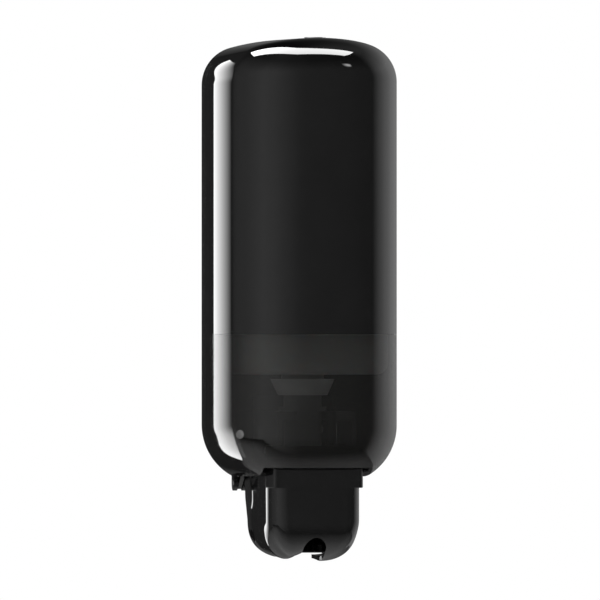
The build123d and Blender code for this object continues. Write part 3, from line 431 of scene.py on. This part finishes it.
gloss_black = finish_of("gloss_black", (0.0018,) * 3, (0.0028,) * 3, (0.012, 0.02), 700, 0.001)
lever_hood = surface("lever_hood", hood_shell(), gloss_black)
soften(lever_hood, LEVER_WALL, 0.35)
lever_band = surface("lever_band", [hood_bar(BAND), hood_bar(CHEEK)], gloss_black)
arch = np.linspace(np.pi, 0.3, 14)
nose = np.stack([PUMP_DEPTH + NOSE_RADIUS * np.cos(arch), NOSE_Z + NOSE_RADIUS * np.sin(arch)], axis=1)
rib_foot = np.array([
    (52, -145.8), (80, -145.8), (80, -156), (72, -162.5), (60, -166.5), (52, -167), (40, -165), (32, -163.5),
])
rib = np.concatenate([nose, rib_foot])
lift_ribs = surface("lift_ribs", plate_pair(rib, RIB_X, RIB_X + RIB_THICK), gloss_black)
soften(lift_ribs, 0, 0.25)
for piece in (lever_hood, lever_band, lift_ribs):
    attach(piece, "lever")
    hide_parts("push_lever")


# Front cover: the upper, opaque shot of the cover, a deep gloss black shell with a domed top.
# It is moulded together with the smoked window below it, and has a shallow dish for the lock.
CASE_HALF, CASE_DEPTH, CASE_TOP, CASE_RIM = 51.6, 109.0, 123.4, -123.4
SIDE_RADIUS, CORNER_RADIUS, FRONT_RADIUS = 600.0, 38.0, 110.0
CROWN_RADIUS, TOP_ROUND = 134.0, 22.0
CASE_WALL = 2.4
SEAM = 15.6
WINDOW_TOP = -43.4
PARTING = 0.03
LOCK_DEPTH = 76.0
DISH = {"half_x": 15.0, "half_depth": 11.0, "floor": 122.2}
LOCK_HOLE = {"x": 0.0, "depth": LOCK_DEPTH, "radius": 8.3, "above": 118.0}


def circles_meet(centre_a, radius_a, centre_b, radius_b):
    """The point at two given distances from two centres that lies at the greater depth."""
    apart = centre_b - centre_a
    distance = np.linalg.norm(apart)
    along = (radius_a**2 - radius_b**2 + distance**2) / (2 * distance)
    unit = apart / distance
    return centre_a + along * unit + math.sqrt(radius_a**2 - along**2) * np.array([-unit[1], unit[0]])


def case_plan():
    """Half plan of the case from the seam to the middle of its front, with its outward normals.

    Three arcs that touch: a flat side, a corner and a front.  Each point is the arc's centre plus
    its radius times (cos a, sin a), which is also the normal."""
    side_middle = np.array([CASE_HALF - SIDE_RADIUS, 0.0])
    front_middle = np.array([0.0, CASE_DEPTH - FRONT_RADIUS])
    corner_middle = circles_meet(
        side_middle, SIDE_RADIUS - CORNER_RADIUS, front_middle, FRONT_RADIUS - CORNER_RADIUS
    )
    start = math.asin(SEAM / SIDE_RADIUS)
    first = math.atan2(*(corner_middle - side_middle)[::-1])
    second = math.atan2(*(corner_middle - front_middle)[::-1])
    arcs = [
        (side_middle, SIDE_RADIUS, np.linspace(start, first, 60, endpoint=False)),
        (corner_middle, CORNER_RADIUS, np.linspace(first, second, 64, endpoint=False)),
        (front_middle, FRONT_RADIUS, np.linspace(second, np.pi / 2, 14)),
    ]
    turn = np.concatenate([angle for _, _, angle in arcs])
    normal = np.stack([np.cos(turn), np.sin(turn)], axis=1)
    centre = np.concatenate([np.repeat(middle[None], len(angle), axis=0) for middle, _, angle in arcs])
    radius = np.concatenate([np.full(len(angle), size) for _, size, angle in arcs])
    return centre + radius[:, None] * normal, normal


def crown(x):
    """Height of the domed top across the case: an arc of the crown radius about the middle."""
    return CASE_TOP - CROWN_RADIUS + np.sqrt(CROWN_RADIUS**2 - x**2)


def upright(plan, low, high, count):
    """Grid of an upright wall on a plan, from a low to a high edge given at each plan point."""
    way = np.linspace(0, 1, count)
    z = low[:, None] + (high - low)[:, None] * way
    flat = np.broadcast_to(plan[:, None], (len(plan), count, 2))
    return np.concatenate([flat, z[..., None]], axis=2)


def cover_skin():
    """Skin of the cover above the window: an upright wall, a rolled edge and the domed top.

    Rolled edge: a ball of the edge radius touches both the wall and the dome.  Its centre is the
    plan point moved in by the radius, and the skin is centre + radius x direction, the direction
    turning evenly from the wall's normal to the dome's normal.
    Top: from each contact across to its mirror image, z = dome, lowered to the dish floor inside
    an ellipse with a short slope at its edge."""
    plan, normal = case_plan()
    ball = plan - TOP_ROUND * normal
    inner = CROWN_RADIUS - TOP_ROUND
    ball_z = CASE_TOP - CROWN_RADIUS + np.sqrt(inner**2 - ball[:, 0] ** 2)
    outwards = np.column_stack([normal, np.zeros(len(normal))])
    upwards = np.column_stack([ball[:, 0], np.zeros(len(ball)), np.sqrt(inner**2 - ball[:, 0] ** 2)]) / inner
    whole = np.arccos(np.clip((outwards * upwards).sum(axis=1), -1, 1))[:, None, None]
    way = np.linspace(0, 1, 30)[None, :, None]
    direction = (
        np.sin((1 - way) * whole) * outwards[:, None] + np.sin(way * whole) * upwards[:, None]
    ) / np.sin(whole)
    rolled = np.column_stack([ball, ball_z])[:, None] + TOP_ROUND * direction
    low = np.full(len(plan), WINDOW_TOP + PARTING)
    wall = upright(plan, low, ball_z, 26)
    contact = rolled[::-1, -1]
    across = np.linspace(-1, 1, 150)
    x = across[:, None] * contact[None, :, 0]
    depth = np.broadcast_to(contact[None, :, 1], x.shape)
    ring = np.hypot(x / DISH["half_x"], (depth - LOCK_DEPTH) / DISH["half_depth"])
    z = crown(x)
    z = z + (np.minimum(z, DISH["floor"]) - z) * smooth((1.0 - ring) / 0.07)
    top = np.stack([x, depth, z], axis=-1)
    return [both_sides(np.concatenate([wall, rolled[:, 1:]], axis=1)), top]


front_shell = surface("front_shell", cover_skin(), gloss_black, LOCK_HOLE)
soften(front_shell, CASE_WALL, 0.06)
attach(front_shell, "cover")
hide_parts("front_cover")


# Cover window: the lower shot of the cover, clear smoked plastic that shows the soap level.
# It is rounded underneath, has a mouth for the lever, and its two lugs turn on the hinge pins.
BOTTOM_ROUND = 33.0
BOTTOM_PLANE = CASE_RIM - 4.0
MOUTH_HALF, MOUTH_TOP = 31.2, -118.3
HINGE_DEPTH, HINGE_Z, LUG_RADIUS = 12.0, -127.2, 3.6
LUG_X = (31.0, 33.2)


def window_skin():
    """Skin of the window: a rolled lower edge from the rim or the mouth, then the upright wall.

    Rolled edge: plan point - radius (1 - cos g) x normal, z = ball height - radius sin g, with g
    from the rim's angle, or the mouth's angle where the skin lies within the mouth, up to 0."""
    plan, normal = case_plan()
    ball_z = BOTTOM_PLANE + BOTTOM_ROUND
    rim = math.asin((ball_z - CASE_RIM) / BOTTOM_ROUND)
    mouth = math.asin((ball_z - MOUTH_TOP) / BOTTOM_ROUND)
    inset = (plan[:, 0] - MOUTH_HALF) / np.maximum(normal[:, 0], 0.02)
    edge = np.clip(np.arccos(np.clip(1 - inset / BOTTOM_ROUND, -1, 1)), mouth, rim)
    turn = edge[:, None] * np.linspace(1, 0, 30)
    drawn = BOTTOM_ROUND * (1 - np.cos(turn))
    flat = plan[:, None] - drawn[..., None] * normal[:, None]
    rolled = np.concatenate([flat, (ball_z - BOTTOM_ROUND * np.sin(turn))[..., None]], axis=2)
    count = len(plan)
    wall = upright(plan, np.full(count, ball_z), np.full(count, WINDOW_TOP - PARTING), 14)
    return [both_sides(np.concatenate([rolled, wall[:, 1:]], axis=1))]


def smoked_plastic(name, clear, gloss):
    """Smoked clear plastic: gloss over a dark warm tint that lets a share of the light through.

    The share falls with the square of the slant at which the wall is looked through."""
    material, tree, shader, place = new_finish(name)
    tone = two_tones(tree, grain(tree, place, 40, 2, 0, 1), (0.0015, 0.0015, 0.001), (0.0025, 0.0025, 0.0018))
    tree.links.new(tone, shader.inputs["Base Color"])
    tree.links.new(grain(tree, place, 25, 2, 0.03, 0.05), shader.inputs["Roughness"])
    slant = tree.nodes.new("ShaderNodeLayerWeight")
    slant.inputs["Blend"].default_value = 0.5
    steep = tree.nodes.new("ShaderNodeMath")
    steep.operation = "POWER"
    steep.inputs[1].default_value = 2.0
    tree.links.new(slant.outputs["Facing"], steep.inputs[0])
    solid = tree.nodes.new("ShaderNodeMapRange")
    solid.inputs["To Min"].default_value = 1.0 - clear
    tree.links.new(steep.outputs["Value"], solid.inputs["Value"])
    tree.links.new(solid.outputs["Result"], shader.inputs["Alpha"])
    shader.inputs["Specular IOR Level"].default_value = gloss
    return material


smoked = smoked_plastic("smoked_plastic", 0.46, 0.8)
smoked_thick = smoked_plastic("smoked_thick", 0.04, 0.4)
window_shell = surface("window_shell", window_skin(), smoked)
soften(window_shell, CASE_WALL, 0.06)
arch = np.radians(np.linspace(300, 90, 20))
eye = np.stack([HINGE_DEPTH + LUG_RADIUS * np.cos(arch), HINGE_Z + LUG_RADIUS * np.sin(arch)], axis=1)
web = np.array([(15.6, -123.6), (15.6, -121.2), (24.0, -121.2), (24.0, -123.4)])
hinge_lugs = surface("hinge_lugs", plate_pair(np.concatenate([eye, web]), *LUG_X), smoked_thick)
soften(hinge_lugs, 0, 0.2)
for piece in (window_shell, hinge_lugs):
    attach(piece, "cover")
    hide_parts("cover_window")


# Key lock: a chromed housing in the dish and a barrel with a key slot, held by a steel nut below.
# The barrel turns the cam under the keeper, which is how the cover is locked shut.
lock_chrome = finish_of("lock_chrome", (0.62, 0.62, 0.63), (0.7, 0.7, 0.71), (0.06, 0.12), 300, 0.02, 1.0)
paint(lock_chrome, "lock_housing", "lock_barrel")


# Stage: the photograph's view, a white surround, a pale floor far below and soft studio panels.
# The camera stands about ten degrees to the left, far off and level with the case.
VIEW_YAW = math.radians(10.0)
VIEW_REACH = 12.0
PHOTO_PIXELS, PIXEL_SIZE = 600, 0.5633
FRAME_WIDTH = PHOTO_PIXELS * PIXEL_SIZE * MM
SENSOR = 36.0
AIM = np.array([-4.8, -55.0, -24.0]) * MM
toward = np.array([-math.sin(VIEW_YAW), -math.cos(VIEW_YAW), 0.0])
lens = bpy.data.cameras.new("camera")
lens.sensor_width = SENSOR
lens.lens = SENSOR * VIEW_REACH / FRAME_WIDTH
lens.clip_end = 60.0
camera = bpy.data.objects.new("camera", lens)
camera.location = AIM + toward * VIEW_REACH
camera.rotation_euler = (math.pi / 2, 0, -VIEW_YAW)
bpy.context.scene.collection.objects.link(camera)
bpy.context.scene.camera = camera

ROUND_LIGHT = [
    (-180, 0.02), (-155, 0.05), (-110, 0.35), (-70, 0.68), (-50, 0.62), (-30, 0.46), (0, 0.24), (70, 0.15),
    (85, 0.7), (100, 1.0), (120, 0.95), (165, 0.15), (180, 0.04),
]
HEIGHT_LIGHT = [(-90, 0.55), (-50, 0.6), (-20, 1.0), (20, 1.0), (50, 0.25), (90, 0.25)]
world = bpy.data.worlds.new("surround")
world.use_nodes = True
bpy.context.scene.world = world
sky = world.node_tree


def sky_math(operation, first, second):
    """Math node of the surround: an operation on two sockets or numbers."""
    node = sky.nodes.new("ShaderNodeMath")
    node.operation = operation
    for socket, value in zip(node.inputs, (first, second)):
        if isinstance(value, (int, float)):
            socket.default_value = value
        else:
            sky.links.new(value, socket)
    return node.outputs["Value"]


def ramp_stops(ramp, stops, interpolation):
    """Set a colour ramp's grey stops, given as pairs of position and value."""
    ramp.interpolation = interpolation
    while len(ramp.elements) < len(stops):
        ramp.elements.new(0.5)
    for element, (position, value) in zip(ramp.elements, stops):
        element.position = position
        element.color = (value, value, value, 1)


heading = sky.nodes.new("ShaderNodeTexCoord")
parts = sky.nodes.new("ShaderNodeSeparateXYZ")
sky.links.new(heading.outputs["Generated"], parts.inputs["Vector"])
azimuth = sky_math("ARCTAN2", parts.outputs["X"], sky_math("MULTIPLY", parts.outputs["Y"], -1.0))
turn_share = sky_math("ADD", sky_math("DIVIDE", azimuth, 2 * math.pi), 0.5)
around = sky.nodes.new("ShaderNodeValToRGB")
ramp_stops(around.color_ramp, [((angle + 180) / 360, value) for angle, value in ROUND_LIGHT], "LINEAR")
sky.links.new(turn_share, around.inputs["Fac"])
height_fade = sky.nodes.new("ShaderNodeValToRGB")
height_stops = [(0.5 + 0.5 * math.sin(math.radians(angle)), value) for angle, value in HEIGHT_LIGHT]
ramp_stops(height_fade.color_ramp, height_stops, "LINEAR")
sky.links.new(sky_math("ADD", sky_math("MULTIPLY", parts.outputs["Z"], 0.5), 0.5), height_fade.inputs["Fac"])
surround = sky_math("MULTIPLY", around.outputs["Color"], height_fade.outputs["Color"])
rays = sky.nodes.new("ShaderNodeLightPath")
level = sky.nodes.new("ShaderNodeMix")
level.data_type = "RGBA"
sky.links.new(rays.outputs["Is Camera Ray"], level.inputs["Factor"])
sky.links.new(surround, level.inputs["A"])
level.inputs["B"].default_value = (1, 1, 1, 1)
sky.links.new(level.outputs["Result"], sky.nodes["Background"].inputs["Color"])
sky.nodes["Background"].inputs["Strength"].default_value = 1.0


def panel(name, near, far, strength, fade, ends=((0.0, 1.0), (1.0, 1.0))):
    """Light panel between two edges of points, seen in gloss only.

    Its strength is the stops of fade, from the near edge to the far edge, times the stops of ends,
    from the first point of the edges to the last."""
    count = len(near)
    index = np.arange(count - 1)
    faces = np.stack([index, index + count, index + count + 1, index + 1], axis=1)
    mesh = bpy.data.meshes.new(name)
    mesh.from_pydata(np.concatenate([near, far]).astype(float).tolist(), [], faces.tolist())
    layer = mesh.uv_layers.new(name="across")
    along = index[:, None] / (count - 1) + np.array([0, 0, 1, 1]) / (count - 1)
    across = np.broadcast_to([0, 1, 1, 0], along.shape)
    layer.data.foreach_set("uv", np.stack([across, along], axis=-1).ravel())
    material = bpy.data.materials.new(name)
    material.use_nodes = True
    tree = material.node_tree
    tree.nodes.remove(tree.nodes["Principled BSDF"])
    glow = tree.nodes.new("ShaderNodeEmission")
    place = tree.nodes.new("ShaderNodeTexCoord")
    split = tree.nodes.new("ShaderNodeSeparateXYZ")
    tree.links.new(place.outputs["UV"], split.inputs["Vector"])
    shares = []
    for axis, stops in (("X", fade), ("Y", ends)):
        ramp = tree.nodes.new("ShaderNodeValToRGB")
        ramp_stops(ramp.color_ramp, stops, "LINEAR")
        tree.links.new(split.outputs[axis], ramp.inputs["Fac"])
        shares.append(ramp.outputs["Color"])
    full = tree.nodes.new("ShaderNodeMath")
    full.operation = "MULTIPLY"
    full.inputs[1].default_value = strength
    tree.links.new(shares[1], full.inputs[0])
    tree.links.new(shares[0], glow.inputs["Color"])
    tree.links.new(full.outputs["Value"], glow.inputs["Strength"])
    tree.links.new(glow.outputs["Emission"], tree.nodes["Material Output"].inputs["Surface"])
    mesh.materials.append(material)
    piece = bpy.data.objects.new(name, mesh)
    piece.visible_camera = False
    piece.visible_diffuse = False
    piece.visible_shadow = False
    bpy.context.scene.collection.objects.link(piece)


def round_about(azimuth, elevation, reach):
    """Points at an azimuth, counted to the left, and an elevation on an upright drum about the object."""
    angle = np.radians(azimuth)
    along = np.stack([-np.sin(angle), -np.cos(angle), np.tan(np.radians(elevation))], axis=1)
    return np.array([0.0, -0.055, 0.0]) + reach * along


RIM_STRIP = {"low": -21.0, "high": 14.0, "outer": 163.5, "inner": 156.0, "reach": 20.0}
RIM_LEAN, RIM_SPREAD = (8.5, 9.5), (5.0, 5.5)
elevation = np.linspace(RIM_STRIP["low"], RIM_STRIP["high"], 40)
leaning = np.clip((elevation - 3) / 11, 0, 1)
outer = RIM_STRIP["outer"] + RIM_LEAN[0] * smooth(leaning) + RIM_SPREAD[0] * smooth(-(elevation + 5) / 9)
inner = RIM_STRIP["inner"] + RIM_LEAN[1] * leaning**2.2 - RIM_SPREAD[1] * smooth(-elevation / 11)
rim_edges = [round_about(edge, elevation, RIM_STRIP["reach"]) for edge in (outer, inner)]
panel("rim_strip", *rim_edges, 3.6, [(0.0, 1.0), (1.0, 0.0)])


def swept_edge(start, end, low, tall, bend, power):
    """Edge of the top panel as x and y shares of its height above the object.

    x runs from start to end, and y = low + tall ((bend - x) / (bend - start))^power up to the bend."""
    x = np.linspace(start, end, 30)
    y = low + tall * np.clip((bend - x) / (bend - start), 0, 1) ** power
    return np.stack([x, y, np.ones_like(x)], axis=1)


TOP_HEIGHT = 10.0
top_rear = swept_edge(-0.52, 0.53, 0.0, 1.6, 0.25, 2.4)
top_front = swept_edge(-0.8, 0.43, -0.37, 1.26, 0.3, 2.8)
panel("top_strip", TOP_HEIGHT * top_rear, TOP_HEIGHT * top_front, 18.0, [(0.0, 1.0), (1.0, 1.0)])
GLINT = {"low": 29.5, "high": 39.5, "near": -26.5, "far": -36.0}
glint_heights = np.array([GLINT["low"], GLINT["high"]])
glint_edges = [round_about(np.full(2, GLINT[side]), glint_heights, 20.0) for side in ("near", "far")]
panel(
    "glint", *glint_edges, 8.0, [(0.0, 0.0), (0.4, 1.0), (0.6, 1.0), (1.0, 0.0)],
    [(0.0, 0.0), (0.4, 1.0), (0.6, 1.0), (1.0, 0.0)],
)
UNDER_CARD = np.array([[(-1.6, 1.2, -0.45), (0.4, 1.0, -0.45)], [(-0.8, -0.29, -0.45), (0.4, -0.29, -0.45)]])
panel(
    "under_card", *UNDER_CARD, 0.66, [(0.0, 0.2), (0.45, 0.5), (0.82, 1.0), (1.0, 0.2)],
    [(0.0, 0.0), (0.4, 1.0), (0.85, 1.0), (1.0, 0.3)],
)

FLOOR_HALF, FLOOR_Z = 2.0, -0.5
floor_mesh = bpy.data.meshes.new("floor")
square = [(-1, -1), (1, -1), (1, 1), (-1, 1)]
floor_mesh.from_pydata([(a * FLOOR_HALF, b * FLOOR_HALF, FLOOR_Z) for a, b in square], [], [(0, 1, 2, 3)])
floor_mesh.materials.append(finish_of("floor_paint", (0.9,) * 3, (0.93,) * 3, (0.6, 0.7), 40, 0.1))
floor = bpy.data.objects.new("floor", floor_mesh)
floor.visible_glossy = False
bpy.context.scene.collection.objects.link(floor)


def lamp(name, place, target, size, power):
    """Soft area lamp at a place that faces a target and leaves no glint of its own."""
    light = bpy.data.lights.new(name, "AREA")
    light.shape = "RECTANGLE"
    light.size, light.size_y = size
    light.energy = power
    piece = bpy.data.objects.new(name, light)
    piece.visible_glossy = False
    direction = np.array(target) - np.array(place)
    piece.location = place
    yaw = math.atan2(-direction[0], direction[1])
    pitch = math.atan2(math.hypot(direction[0], direction[1]), -direction[2])
    piece.rotation_euler = (pitch, 0, yaw)
    bpy.context.scene.collection.objects.link(piece)


lamp("overhead", (-0.3, -1.0, 1.7), (0.0, -0.06, 0.0), (1.5, 1.5), 32.0)
lamp("front_fill", (-0.8, -1.8, 0.1), (0.0, -0.06, 0.0), (1.0, 1.0), 16.0)

bpy.context.scene.view_settings.view_transform = "Standard"
